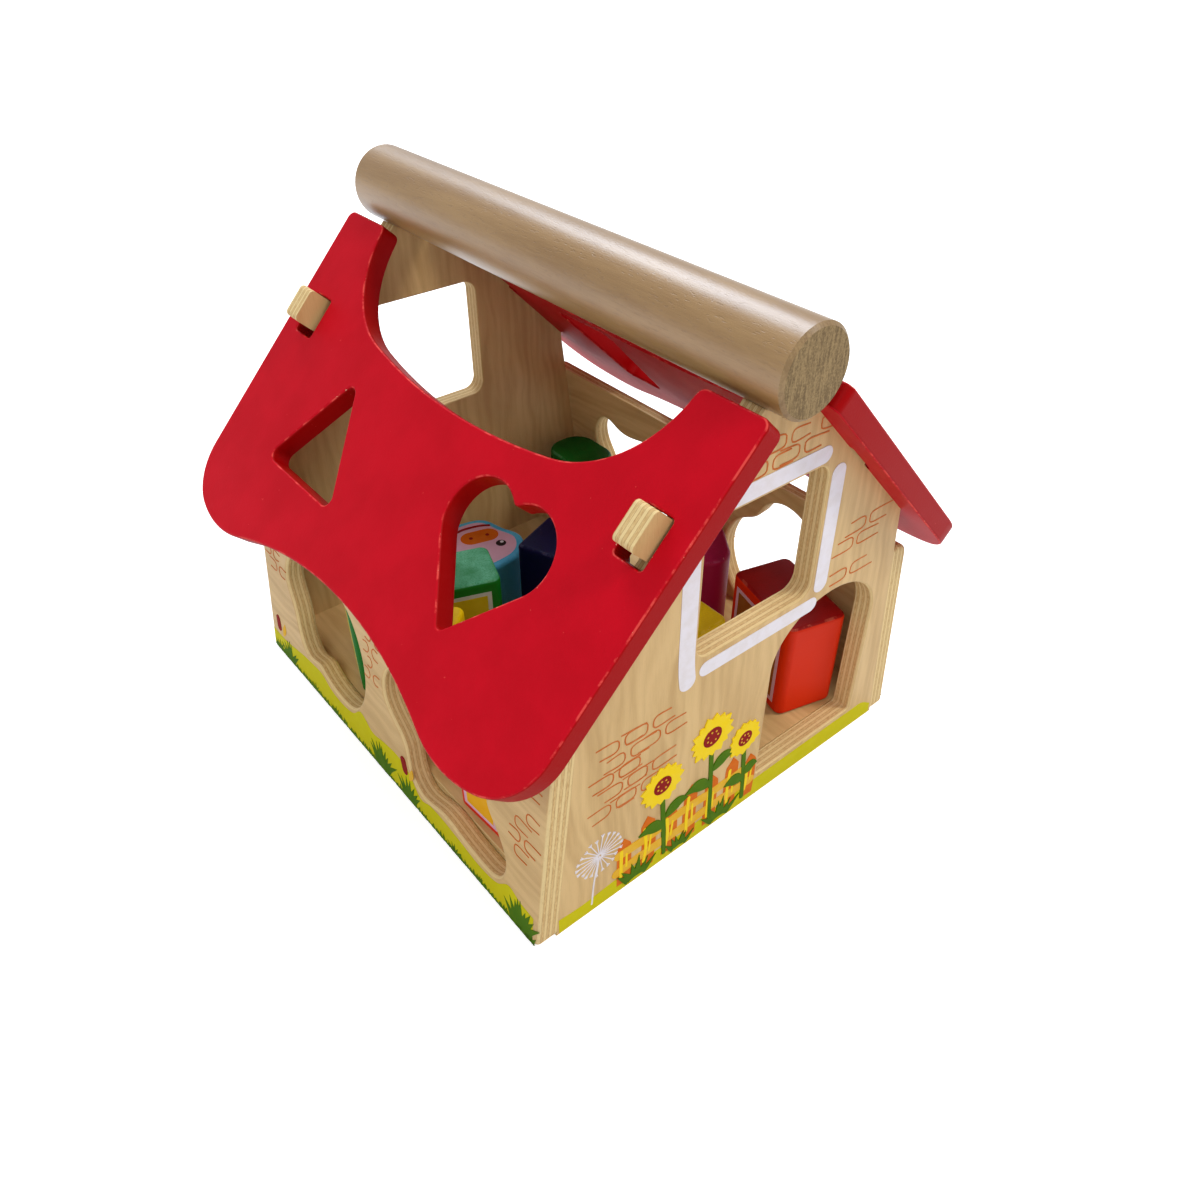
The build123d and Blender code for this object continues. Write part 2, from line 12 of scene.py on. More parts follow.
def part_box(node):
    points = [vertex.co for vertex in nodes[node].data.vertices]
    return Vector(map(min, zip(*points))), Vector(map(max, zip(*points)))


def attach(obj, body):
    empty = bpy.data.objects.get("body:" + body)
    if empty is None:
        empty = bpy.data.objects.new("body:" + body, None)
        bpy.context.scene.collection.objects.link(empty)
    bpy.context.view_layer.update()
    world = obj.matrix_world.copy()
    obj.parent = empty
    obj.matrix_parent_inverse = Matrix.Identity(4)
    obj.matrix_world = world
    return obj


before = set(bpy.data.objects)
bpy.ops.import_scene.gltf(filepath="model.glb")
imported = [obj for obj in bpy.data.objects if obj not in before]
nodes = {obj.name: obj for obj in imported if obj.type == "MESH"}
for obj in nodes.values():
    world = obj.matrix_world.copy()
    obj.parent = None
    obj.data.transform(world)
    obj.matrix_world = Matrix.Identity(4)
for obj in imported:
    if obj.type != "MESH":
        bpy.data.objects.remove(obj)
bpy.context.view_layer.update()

# House sizes in millimetres, the lean of its side walls and the pitch of its roof
HALF_LENGTH = 112.0
HALF_BASE = 102.0
LEAN = radians(6.8)
PITCH = radians(45.5)
FLOOR_TOP = 13.0
LOW_TOP = 43.0

# Plywood: its thickness, its layers, and how deep under the face the look of the cut edge starts to
# fade and has faded
PLY = 9.0
PLY_LAYERS = 7
CUT_FADES = 0.35
CUT_FADED = 0.12

# Blocks with prints: how far each is turned in degrees, and from its middle to its printed face
ORANGE_TURN = -15
ORANGE_REACH = 14.75
GREEN_TURN = -20
GREEN_REACH = 14.15
GREEN_END_REACH = 34.15
RED_TURN = 3
RED_REACH = 13.75
NAVY_TURN = 20.7
NAVY_REACH = 23.0

# Printed panels on the blocks: their half widths, the heights of their foot and top, and their border
ORANGE_FIELD_HALF = 18.5
GREEN_FIELD_HALF = 29.0
GREEN_END_HALF = 9.8
RED_FIELD_HALF = 10.6
ORANGE_FIELD_HEIGHTS = (18.0, 58.0)
GREEN_FIELD_HEIGHTS = (18.0, 57.5)
RED_FIELD_HEIGHTS = (17.0, 39.0)
FIELD_BORDER = 2.0

# Printed films: height of the skin over its face, the step to the next level and between two strokes
# of one film, the depth of the root and the room above the ground
FILM = 0.09
FILM_LEVEL = 0.07
FILM_STAGGER = 0.006
FILM_ROOT = 0.05
FOOT_ROOM = 0.35

# Drawn lines: the spacing of their points, the points round a half-circle end and the angle at which
# they start, and the half width that a pointed end keeps
POINT_SPACING = 1.2
CAP_POINTS = 6
CAP_START = 0.04
POINT_HALF = 0.03

# Drawn bricks: half width of the line, the chance that an end is drawn, half the joint between two
# ends, how much lower an end is than its row, and as shares of a brick the shift of every other row
# and the reach of an end's legs
BRICK_LINE = 0.28
BRICK_CHANCE = 0.82
BRICK_JOINT = 1.3
BRICK_GROUT = 1.9
BRICK_SHIFT = 0.42
BRICK_REACH = 0.80

# Drawn plants: the foot of the grass, half width of a short blade, the sunflowers as the middle and
# the radius of their heads with how many petals and seeds each has, and the dandelion clock
GRASS_FOOT = 0.5
SHORT_BLADE = 0.95
SUNFLOWERS = (((-42.0, 48.0), 10.6), ((-17.0, 57.0), 11.6), ((2.5, 43.0), 9.2))
PETALS = 15
SEEDS = 7
CLOCK_MIDDLE = (-72, 31)
CLOCK_RADIUS = 9.4
CLOCK_RAYS = 22

# Picket fence: how far along the gable each picket stands and how high it is, and its half width
PICKETS = ((-60, 31), (-48.5, 35), (-37, 32), (-25.5, 36), (-14, 33), (-2.5, 35), (8, 30))
PICKET_HALF = 3.6

# Width of the rim that the animal face leaves free on the light-blue block
ANIMAL_RIM = 3.9

# Camera: where it stands in millimetres and how it looks, from the photograph
CAMERA_PLACE = (-207.17, -277.06, 322.70)
CAMERA_AZIMUTH = -40.15
CAMERA_ELEVATION = 39.17
CAMERA_ROLL = 0.41
FOCAL_PIXELS = 955.0
IMAGE_PIXELS = 1200
AXIS_OFFSET = (9.79, 6.31)
SENSOR_WIDTH = 36.0

# Surroundings: the light from all round, and the floor's reach in metres, its shade and its glow for
# the camera
WORLD_LIGHT = (0.46, 0.48, 0.52, 1)
WHITE = (1, 1, 1, 1)
FLOOR_REACH = 6
FLOOR_SHADE = (0.90, 0.90, 0.90, 1)
FLOOR_GLOW = 0.55


def shade(red, green, blue):
    """Colour as seen on a screen, 0 to 255, turned into the linear values that shaders use."""
    seen = np.array([red, green, blue]) / 255
    linear = np.where(seen <= 0.04045, seen / 12.92, ((seen + 0.055) / 1.055) ** 2.4)
    return (*(float(value) for value in linear), 1.0)


# Light, camera and floor

def aim_camera():
    """Camera at its place, its back along the azimuth and elevation, rolled about its own axis."""
    data = bpy.data.cameras.new("photo_camera")
    camera = bpy.data.objects.new("photo_camera", data)
    bpy.context.scene.collection.objects.link(camera)
    a, e, roll = radians(CAMERA_AZIMUTH), radians(CAMERA_ELEVATION), radians(CAMERA_ROLL)
    back = Vector((sin(a) * cos(e), -cos(a) * cos(e), sin(e)))
    level_right = Vector((cos(a), sin(a), 0))
    level_up = back.cross(level_right)
    right = level_right * cos(roll) + level_up * sin(roll)
    up = back.cross(right)
    turn = Matrix((right, up, back)).transposed().to_4x4()
    camera.matrix_world = Matrix.Translation(Vector(CAMERA_PLACE) / 1000) @ turn
    data.sensor_width = SENSOR_WIDTH
    data.lens = FOCAL_PIXELS / IMAGE_PIXELS * data.sensor_width
    data.shift_x = -AXIS_OFFSET[0] / IMAGE_PIXELS
    data.shift_y = AXIS_OFFSET[1] / IMAGE_PIXELS
    data.clip_start = 0.01
    bpy.context.scene.camera = camera


def sun(name, towards, strength, spread, colour):
    """Soft sun lamp that shines from the given direction."""
    data = bpy.data.lights.new(name, "SUN")
    data.energy = strength
    data.angle = radians(spread)
    data.color = colour
    lamp = bpy.data.objects.new(name, data)
    lamp.rotation_mode = "QUATERNION"
    lamp.rotation_quaternion = Vector(towards).to_track_quat("Z", "Y")
    bpy.context.scene.collection.objects.link(lamp)


def light_world():
    """Pale world; what the camera sees of it is white."""
    world = bpy.data.worlds.new("pale_room")
    world.use_nodes = True
    bpy.context.scene.world = world
    tree = world.node_tree
    background = tree.nodes["Background"]
    rays = tree.nodes.new("ShaderNodeLightPath")
    seen = tree.nodes.new("ShaderNodeMix")
    seen.data_type = "RGBA"
    seen.inputs["A"].default_value = WORLD_LIGHT
    seen.inputs["B"].default_value = WHITE
    tree.links.new(rays.outputs["Is Camera Ray"], seen.inputs["Factor"])
    tree.links.new(seen.outputs["Result"], background.inputs["Color"])


def lay_floor():
    """Wide pale floor under the house, lifted towards white for the camera alone."""
    data = bpy.data.meshes.new("floor_stage")
    corners = [(x * FLOOR_REACH, y * FLOOR_REACH, 0) for x, y in ((-1, -1), (1, -1), (1, 1), (-1, 1))]
    data.from_pydata(corners, [], [(0, 1, 2, 3)])
    floor = bpy.data.objects.new("floor_stage", data)
    bpy.context.scene.collection.objects.link(floor)
    material = bpy.data.materials.new("pale_floor")
    material.use_nodes = True
    shader = material.node_tree.nodes["Principled BSDF"]
    shader.inputs["Base Color"].default_value = FLOOR_SHADE
    shader.inputs["Roughness"].default_value = 0.8
    shader.inputs["Specular IOR Level"].default_value = 0.1
    shader.inputs["Emission Color"].default_value = WHITE
    rays = material.node_tree.nodes.new("ShaderNodeLightPath")
    glow = material.node_tree.nodes.new("ShaderNodeMath")
    glow.operation = "MULTIPLY"
    glow.inputs[1].default_value = FLOOR_GLOW
    material.node_tree.links.new(rays.outputs["Is Camera Ray"], glow.inputs[0])
    material.node_tree.links.new(glow.outputs[0], shader.inputs["Emission Strength"])
    data.materials.append(material)


# Shader building

class Tree:
    """Short words for building a node tree."""

    def __init__(self, tree):
        self.tree = tree

    def new(self, kind, **settings):
        """New node with its settings."""
        node = self.tree.nodes.new("ShaderNode" + kind)
        for name, value in settings.items():
            setattr(node, name, value)
        return node

    def feed(self, socket, value):
        """Link an output to a socket, or set the socket to a plain value."""
        if isinstance(value, bpy.types.NodeSocket):
            self.tree.links.new(value, socket)
        else:
            socket.default_value = value

    def maths(self, operation, *values, clamp=False):
        """Math node."""
        node = self.new("Math", operation=operation, use_clamp=clamp)
        for socket, value in zip(node.inputs, values):
            self.feed(socket, value)
        return node.outputs[0]

    def vector(self, operation, *values):
        """Vector Math node; its number output for a dot product."""
        node = self.new("VectorMath", operation=operation)
        for socket, value in zip(node.inputs, values):
            self.feed(socket, value)
        return node.outputs["Value" if operation == "DOT_PRODUCT" else "Vector"]

    def combine(self, x, y, z):
        """Vector from three numbers."""
        node = self.new("CombineXYZ")
        for socket, value in zip(node.inputs, (x, y, z)):
            self.feed(socket, value)
        return node.outputs[0]

    def noise(self, where, scale, detail, roughness=0.5):
        """Noise value from 0 to 1."""
        node = self.new("TexNoise")
        self.feed(node.inputs["Vector"], where)
        self.feed(node.inputs["Scale"], scale)
        self.feed(node.inputs["Detail"], detail)
        self.feed(node.inputs["Roughness"], roughness)
        return node.outputs["Fac"]

    def step(self, value, low, high):
        """Smooth rise from 0 to 1 as the value goes from low to high."""
        node = self.new("MapRange", interpolation_type="SMOOTHSTEP")
        for name, number in (("Value", value), ("From Min", low), ("From Max", high)):
            self.feed(node.inputs[name], number)
        return node.outputs[0]

    def blend(self, factor, first, second):
        """Colour mix."""
        node = self.new("Mix", data_type="RGBA")
        self.feed(node.inputs[0], factor)
        self.feed(node.inputs[6], first)
        self.feed(node.inputs[7], second)
        return node.outputs[2]

    def place(self, group, **values):
        """Group node with values for its named sockets."""
        node = self.new("Group", node_tree=group)
        for name, value in values.items():
            self.feed(node.inputs[name.replace("_", " ")], value)
        return node


def start_group(name, inputs, outputs):
    """Node group with named sockets: the group, its builder, its inputs and its outputs."""
    group = bpy.data.node_groups.new(name, "ShaderNodeTree")
    for socket, kind in inputs.items():
        group.interface.new_socket(socket, in_out="INPUT", socket_type="NodeSocket" + kind)
    for socket, kind in outputs.items():
        group.interface.new_socket(socket, in_out="OUTPUT", socket_type="NodeSocket" + kind)
    tree = Tree(group)
    given = group.nodes.new("NodeGroupInput")
    result = group.nodes.new("NodeGroupOutput")
    return group, tree, given.outputs, result.inputs


def start_material(name, specular):
    """Material with a Principled shader: the material, its builder and the shader's inputs."""
    material = bpy.data.materials.new(name)
    material.use_nodes = True
    tree = Tree(material.node_tree)
    shader = material.node_tree.nodes["Principled BSDF"].inputs
    shader["Specular IOR Level"].default_value = specular
    return material, tree, shader


def raise_surface(tree, shader, height, millimetres, strength):
    """Bump from a height between 0 and 1 that stands for so many millimetres."""
    bump = tree.new("Bump")
    tree.feed(bump.inputs["Strength"], strength)
    tree.feed(bump.inputs["Distance"], millimetres / 1000)
    tree.feed(bump.inputs["Height"], height)
    tree.feed(shader["Normal"], bump.outputs["Normal"])


# Effects that several materials share

def make_birch_group():
    """Birch plywood by its own coordinates in millimetres: across and along the face grain, and depth
    from the middle. Face: a slow figure, rings bent by it, fine fibres and short flecks. Cut edge: seven
    layers, every second one darker end grain, with a thin glue line between neighbours."""
    group, tree, given, result = start_group(
        "birch_plywood",
        {"Across": "Float", "Along": "Float", "Depth": "Float", "Face": "Color", "Figure": "Color",
         "Layer": "Color", "Cross Layer": "Color", "Glue": "Color"},
        {"Color": "Color", "Height": "Float", "Cut": "Float"},
    )
    across, along, depth = given["Across"], given["Along"], given["Depth"]
    slow = tree.combine(tree.maths("MULTIPLY", across, 0.03), tree.maths("MULTIPLY", along, 0.012), depth)
    sway = tree.noise(slow, 1.0, 2.0)
    bent = tree.maths("MULTIPLY_ADD", sway, 30.0, across)
    rings = tree.maths("SINE", tree.maths("MULTIPLY", bent, 1.25))
    broad_at = tree.combine(tree.maths("MULTIPLY", bent, 0.10), tree.maths("MULTIPLY", along, 0.012), 5.0)
    broad = tree.noise(broad_at, 1.0, 3.0)
    fibre_at = tree.combine(tree.maths("MULTIPLY", across, 2.4), tree.maths("MULTIPLY", along, 0.11), depth)
    fibres = tree.noise(fibre_at, 1.0, 4.0, 0.65)
    fleck_at = tree.combine(tree.maths("MULTIPLY", across, 3.2), tree.maths("MULTIPLY", along, 0.33), 2.0)
    flecks = tree.step(tree.noise(fleck_at, 1.0, 1.0), 0.66, 0.76)
    tone = tree.maths("MULTIPLY_ADD", rings, 0.05, broad)
    tone = tree.maths("MULTIPLY_ADD", tree.maths("SUBTRACT", fibres, 0.5), 0.35, tone)
    face = tree.blend(tree.step(tone, 0.28, 0.74), given["Face"], given["Figure"])
    face = tree.blend(tree.maths("MULTIPLY", flecks, 0.10), face, given["Glue"])
    layer_number = tree.maths("MULTIPLY", tree.maths("ADD", depth, PLY / 2), PLY_LAYERS / PLY)
    crossed = tree.maths("MODULO", tree.maths("FLOOR", layer_number), 2.0)
    from_middle = tree.maths("ABSOLUTE", tree.maths("SUBTRACT", tree.maths("FRACT", layer_number), 0.5))
    glue = tree.step(from_middle, 0.40, 0.48)
    grit_at = tree.combine(
        tree.maths("MULTIPLY", across, 0.55), tree.maths("MULTIPLY", along, 0.55),
        tree.maths("MULTIPLY", depth, 2.6),
    )
    grit = tree.noise(grit_at, 1.0, 4.0, 0.65)
    rough_crossed = tree.maths("MULTIPLY", crossed, tree.step(grit, 0.25, 0.60))
    cut_color = tree.blend(rough_crossed, given["Layer"], given["Cross Layer"])
    burnt = tree.maths("MULTIPLY", tree.step(grit, 0.50, 0.75), 0.30)
    cut_color = tree.blend(burnt, cut_color, given["Glue"])
    cut_color = tree.blend(tree.maths("MULTIPLY", glue, 0.55), cut_color, given["Glue"])
    off_middle = tree.maths("ABSOLUTE", depth)
    cut = tree.maths("SUBTRACT", 1.0, tree.step(off_middle, PLY / 2 - CUT_FADES, PLY / 2 - CUT_FADED))
    tree.feed(result["Color"], tree.blend(cut, face, cut_color))
    cut_height = tree.maths("MULTIPLY_ADD", glue, -0.5, grit)
    face_height = tree.maths("MULTIPLY_ADD", flecks, -0.6, fibres)
    mixed = tree.maths("MULTIPLY_ADD", tree.maths("SUBTRACT", cut_height, face_height), cut, face_height)
    tree.feed(result["Height"], mixed)
    tree.feed(result["Cut"], cut)
    return group


def make_eased_group():
    """Where a surface is an eased edge, its normal lying between a board's face direction and its
    sides, and where it is a side."""
    group, tree, given, result = start_group(
        "eased_edge",
        {"Normal": "Vector", "Face Direction": "Vector"},
        {"Edge": "Float", "Side": "Float"},
    )
    facing = tree.maths("ABSOLUTE", tree.vector("DOT_PRODUCT", given["Normal"], given["Face Direction"]))
    line = tree.step(facing, 0.45, 0.68)
    off_face = tree.maths("SUBTRACT", 1.0, tree.step(facing, 0.93, 0.99))
    tree.feed(result["Edge"], tree.maths("MULTIPLY", line, off_face))
    tree.feed(result["Side"], tree.maths("SUBTRACT", 1.0, tree.step(facing, 0.50, 0.74)))
    return group


def make_paint_group():
    """Brushed paint on wood: two close tones in soft clouds, coarse specks of the deeper one where it
    lies on gritty end grain, another tone on the sides, a rubbed line and chips along the edges, and a
    few pale specks. On the roof boards the side tone is partly painted shade; on the orange block the
    two tones of the ends are painted shade, and on the green block the paler tone is a painted sheen."""
    group, tree, given, result = start_group(
        "painted_wood",
        {"Place": "Vector", "Edge": "Float", "Side": "Float", "Paint": "Color", "Deep Paint": "Color",
         "Side Paint": "Color", "Rubbed": "Color", "Bare Wood": "Color", "Wear": "Float", "Chips": "Float",
         "Grit": "Float"},
        {"Color": "Color", "Roughness": "Float", "Height": "Float"},
    )
    place, edge = given["Place"], given["Edge"]
    clouds = tree.noise(place, 0.045, 4.0, 0.55)
    peel = tree.noise(place, 1.1, 2.0)
    color = tree.blend(tree.step(clouds, 0.3, 0.7), given["Paint"], given["Deep Paint"])
    coarse = tree.step(tree.noise(place, 1.3, 4.0, 0.7), 0.46, 0.62)
    coarse = tree.maths("MULTIPLY", coarse, tree.maths("SUBTRACT", given["Grit"], 0.3), clamp=True)
    color = tree.blend(coarse, color, given["Deep Paint"])
    # Side tone: on the roof boards it is partly painted shade of their sides
    color = tree.blend(given["Side"], color, given["Side Paint"])
    rub = tree.maths("MULTIPLY", tree.step(tree.noise(place, 0.16, 4.0, 0.65), 0.47, 0.60), given["Wear"])
    rub = tree.maths("MULTIPLY", rub, edge)
    chip = tree.maths("MULTIPLY", tree.step(tree.noise(place, 0.50, 3.0, 0.6), 0.68, 0.71), given["Chips"])
    chip = tree.maths("MULTIPLY", chip, edge)
    speck = tree.maths("MULTIPLY", tree.step(tree.noise(place, 0.55, 1.0), 0.80, 0.82), 0.30)
    color = tree.blend(rub, color, given["Rubbed"])
    color = tree.blend(speck, color, given["Rubbed"])
    color = tree.blend(chip, color, given["Bare Wood"])
    tree.feed(result["Color"], color)
    dull = tree.maths("MULTIPLY_ADD", clouds, 0.16, 0.38)
    tree.feed(result["Roughness"], tree.maths("MULTIPLY_ADD", tree.maths("MAXIMUM", rub, chip), 0.25, dull))
    height = tree.maths("MULTIPLY_ADD", tree.noise(place, 0.8, 5.0, 0.75), given["Grit"], peel)
    tree.feed(result["Height"], tree.maths("MULTIPLY_ADD", chip, -1.5, height))
    return group


def make_ink_group():
    """Screen-printed ink: a faint uneven tone and tiny pinholes where the ground shows."""
    group, tree, given, result = start_group(
        "printed_ink",
        {"Place": "Vector", "Ink": "Color", "Thin Ink": "Color"},
        {"Color": "Color", "Height": "Float"},
    )
    uneven = tree.noise(given["Place"], 0.22, 3.0, 0.6)
    fine = tree.noise(given["Place"], 2.0, 2.0)
    thin = tree.maths("MULTIPLY_ADD", tree.step(fine, 0.62, 0.78), 0.45, tree.step(uneven, 0.35, 0.75))
    tree.feed(result["Color"], tree.blend(tree.maths("MULTIPLY", thin, 0.5), given["Ink"], given["Thin Ink"]))
    tree.feed(result["Height"], fine)
    return group


birch_group = make_birch_group()
eased_group = make_eased_group()
paint_group = make_paint_group()
ink_group = make_ink_group()


# Materials

def object_place(tree):
    """Position on the object in millimetres, and the surface direction."""
    where = tree.new("TexCoord")
    place = tree.vector("MULTIPLY", where.outputs["Object"], (1000, 1000, 1000))
    return place, where.outputs["Normal"]


def plywood(name, across, along, depth, middle):
    """Lacquered birch plywood for a board with these three directions and this middle plane."""
    material, tree, shader = start_material(name, 0.2)
    place, _ = object_place(tree)
    lengths = [tree.vector("DOT_PRODUCT", place, direction) for direction in (across, along, depth)]
    off_middle = tree.maths("SUBTRACT", lengths[2], middle)
    board = tree.place(
        birch_group, Across=lengths[0], Along=lengths[1], Depth=off_middle,
        Face=shade(212, 178, 122), Figure=shade(190, 154, 100), Layer=shade(222, 196, 140),
        Cross_Layer=shade(200, 164, 108), Glue=shade(146, 92, 44),
    )
    tree.feed(shader["Base Color"], board.outputs["Color"])
    tree.feed(shader["Roughness"], tree.maths("MULTIPLY_ADD", board.outputs["Cut"], 0.25, 0.42))
    raise_surface(tree, shader, board.outputs["Height"], 0.12, 0.6)
    return material


def painted(name, paint, deep, side, rubbed, facing, wear, chips, grit, specular):
    """Paint on wood, worn along the edges between its face direction and its sides."""
    material, tree, shader = start_material(name, specular)
    place, normal = object_place(tree)
    eased = tree.place(eased_group, Normal=normal, Face_Direction=facing)
    coat_of_paint = tree.place(
        paint_group, Place=place, Edge=eased.outputs["Edge"], Side=eased.outputs["Side"], Paint=paint,
        Deep_Paint=deep, Side_Paint=side, Rubbed=rubbed, Bare_Wood=shade(236, 196, 160), Wear=wear,
        Chips=chips, Grit=grit,
    )
    tree.feed(shader["Base Color"], coat_of_paint.outputs["Color"])
    tree.feed(shader["Roughness"], coat_of_paint.outputs["Roughness"])
    raise_surface(tree, shader, coat_of_paint.outputs["Height"], 0.10, 0.5)
    return material


def ink(name, colour, thin):
    """Printed ink."""
    material, tree, shader = start_material(name, 0.06)
    tree.feed(shader["Roughness"], 0.55)
    place, _ = object_place(tree)
    printed = tree.place(ink_group, Place=place, Ink=colour, Thin_Ink=thin)
    tree.feed(shader["Base Color"], printed.outputs["Color"])
    raise_surface(tree, shader, printed.outputs["Height"], 0.03, 0.5)
    return material


def turned_rod():
    """Turned beech with a satin coat that mirrors a cool light, its reflections given a painted blue tint
    as well: long pale clouds, short dark pores along it, and bare end grain with saw marks."""
    material, tree, shader = start_material("turned_beech", 0.35)
    # Painted blue tint of the rod's reflections, standing for cool window light
    tree.feed(shader["Specular Tint"], (0.74, 0.84, 1.0, 1.0))
    tree.feed(shader["Coat Roughness"], 0.34)
    place, normal = object_place(tree)
    clouds = tree.noise(tree.vector("MULTIPLY", place, (0.10, 0.010, 0.10)), 1.0, 4.0, 0.6)
    fibres = tree.noise(tree.vector("MULTIPLY", place, (1.6, 0.09, 1.6)), 1.0, 4.0, 0.7)
    pores = tree.step(tree.noise(tree.vector("MULTIPLY", place, (1.5, 0.32, 1.5)), 1.0, 1.0), 0.60, 0.72)
    tone = tree.maths("MULTIPLY_ADD", tree.maths("SUBTRACT", fibres, 0.5), 0.35, clouds)
    side = tree.blend(tree.step(tone, 0.28, 0.74), shade(166, 130, 80), shade(144, 108, 60))
    side = tree.blend(tree.maths("MULTIPLY", pores, 0.16), side, shade(112, 82, 52))
    sawn = tree.noise(tree.vector("MULTIPLY", place, (1.3, 0.2, 0.16)), 1.0, 4.0, 0.7)
    speckle = tree.noise(place, 1.3, 3.0, 0.7)
    end_tone = tree.maths("MULTIPLY_ADD", tree.maths("SUBTRACT", speckle, 0.5), 0.7, sawn)
    end = tree.blend(tree.step(end_tone, 0.3, 0.7), shade(156, 130, 88), shade(108, 86, 54))
    facing = tree.new("SeparateXYZ")
    tree.feed(facing.inputs[0], normal)
    at_end = tree.step(tree.maths("ABSOLUTE", facing.outputs["Y"]), 0.5, 0.9)
    tree.feed(shader["Base Color"], tree.blend(at_end, side, end))
    tree.feed(shader["Roughness"], tree.maths("MULTIPLY_ADD", at_end, 0.45, 0.40))
    tree.feed(shader["Coat Weight"], tree.maths("SUBTRACT", 1.0, at_end))
    grain = tree.maths("SUBTRACT", fibres, pores)
    height = tree.maths("MULTIPLY_ADD", tree.noise(place, 1.4, 4.0), 0.9, grain)
    raise_surface(tree, shader, height, 0.10, 0.6)
    return material


def paint_node(name, material):
    """Give a CAD piece its material."""
    data = nodes[name].data
    for slot in range(len(data.materials)):
        data.materials[slot] = material
    if not data.materials:
        data.materials.append(material)


LEFT_FACING = (-cos(LEAN), 0.0, sin(LEAN))
RIGHT_FACING = (cos(LEAN), 0.0, sin(LEAN))
WALL_MIDDLE = HALF_BASE * cos(LEAN) - PLY / 2
GABLE_MIDDLE = HALF_LENGTH - PLY / 2
X_WAY, Y_WAY, Z_WAY = (1.0, 0.0, 0.0), (0.0, 1.0, 0.0), (0.0, 0.0, 1.0)


def dress_house():
    """Materials of the shell, the rod and the hidden pins."""
    paint_node("front_gable", plywood("front_gable_birch", X_WAY, Z_WAY, Y_WAY, -GABLE_MIDDLE))
    paint_node("rear_gable", plywood("rear_gable_birch", X_WAY, Z_WAY, Y_WAY, GABLE_MIDDLE))
    left_up = (sin(LEAN), 0.0, cos(LEAN))
    right_up = (-sin(LEAN), 0.0, cos(LEAN))
    paint_node("left_wall", plywood("left_wall_birch", left_up, Y_WAY, LEFT_FACING, WALL_MIDDLE))
    paint_node("right_wall", plywood("right_wall_birch", right_up, Y_WAY, RIGHT_FACING, WALL_MIDDLE))
    paint_node("floor_panel", plywood("floor_birch", X_WAY, Y_WAY, Z_WAY, FLOOR_TOP - PLY / 2))
    rod = turned_rod()
    for name in ("ridge_rod", "corner_pins", "floor_pins", "ridge_pins"):
        paint_node(name, rod)


def dress_roof():
    """Red paint of the two roof boards; the deep red of their sides is partly painted shade."""
    for name, side in (("left_roof", -1), ("right_roof", 1)):
        facing = (side * sin(PITCH), 0.0, cos(PITCH))
        # Third colour: the deep red of the boards' sides, partly deeper paint on the cut end grain and partly
        # painted shade
        red = painted(
            f"{name}_red", shade(192, 4, 26), shade(182, 2, 22), shade(156, 0, 2), shade(240, 96, 84),
            facing, wear=0.5, chips=0.7, grit=0.3, specular=0.08,
        )
        paint_node(name, red)


# The two tones of a block's ends and the paint of its sides; the orange block's dark red ends are
# # painted shade, and the green block's pale teal end tone is a painted sheen
BLOCK_PAINTS_AND_PAINTED_LIGHT = {
    # Orange block: its dark red ends are painted shade, while the orange of its sides is its paint
    "orange_block": ((164, 8, 8), (138, 6, 6), (214, 40, 0)),
    "maroon_block": ((158, 16, 66), (132, 10, 52), (150, 12, 56)),
    "sand_block": ((230, 196, 14), (210, 172, 8), (226, 188, 10)),
    "navy_block": ((10, 10, 62), (4, 4, 40), (6, 6, 52)),
    "forest_block": ((10, 92, 24), (6, 72, 16), (8, 84, 20)),
    # Green block: the pale teal tone of its ends is a painted sheen of light on rough end grain; the deep
    # green is its paint
    "green_block": ((104, 186, 150), (16, 112, 52), (10, 104, 22)),
    "yellow_block": ((244, 212, 6), (226, 190, 0), (236, 200, 2)),
    "red_block": ((206, 24, 12), (184, 16, 8), (214, 40, 10)),
    "sky_block": ((92, 184, 216), (70, 160, 196), (76, 170, 206)),
}


def dress_blocks():
    """Paint of the loose blocks, rougher on their end grain, with painted shade on the orange block's ends
    and a painted sheen on the green block's ends.
    """
    for name, (paint, deep, side) in BLOCK_PAINTS_AND_PAINTED_LIGHT.items():
        lighter = tuple(int(value + (255 - value) * 0.35) for value in side)
        coat = painted(
            f"{name}_paint", shade(*paint), shade(*deep), shade(*side), shade(*lighter), Z_WAY,
            wear=0.35, chips=0.20, grit=0.9, specular=0.14,
        )
        paint_node(name, coat)


# Drawing: smooth lines, strokes and the films that they are printed as

def through(points, per_step=8):
    """Smooth line through points: between two neighbours a cubic whose slope at each point is half the
    step between the points on either side of it."""
    p = np.asarray(points, float)
    padded = np.concatenate([2 * p[:1] - p[1:2], p, 2 * p[-1:] - p[-2:-1]])
    before, start, end, after = (padded[k:len(padded) - 3 + k, None] for k in range(4))
    t = np.linspace(0, 1, per_step, endpoint=False)[None, :, None]
    slope, next_slope = (end - before) / 2, (after - start) / 2
    line = (
        (2 * t**3 - 3 * t**2 + 1) * start + (t**3 - 2 * t**2 + t) * slope
        + (3 * t**2 - 2 * t**3) * end + (t**3 - t**2) * next_slope
    )
    return np.concatenate([line.reshape(-1, p.shape[1]), p[-1:]])


def closed_through(points, per_step):
    """Smooth closed line: the same cubics with the points repeated past both ends."""
    p = np.asarray(points, float)
    around = np.concatenate([p[-2:], p, p[:3]])
    line = through(around, per_step)
    return line[2 * per_step:(2 + len(p)) * per_step]


def edges_of(spine, half_widths):
    """The two edges of a band: the spine moved to either side, square to its direction."""
    way = np.gradient(spine, axis=0)
    way /= np.linalg.norm(way, axis=1, keepdims=True)
    aside = np.stack([-way[:, 1], way[:, 0]], axis=1) * half_widths[:, None]
    return spine + aside, spine - aside


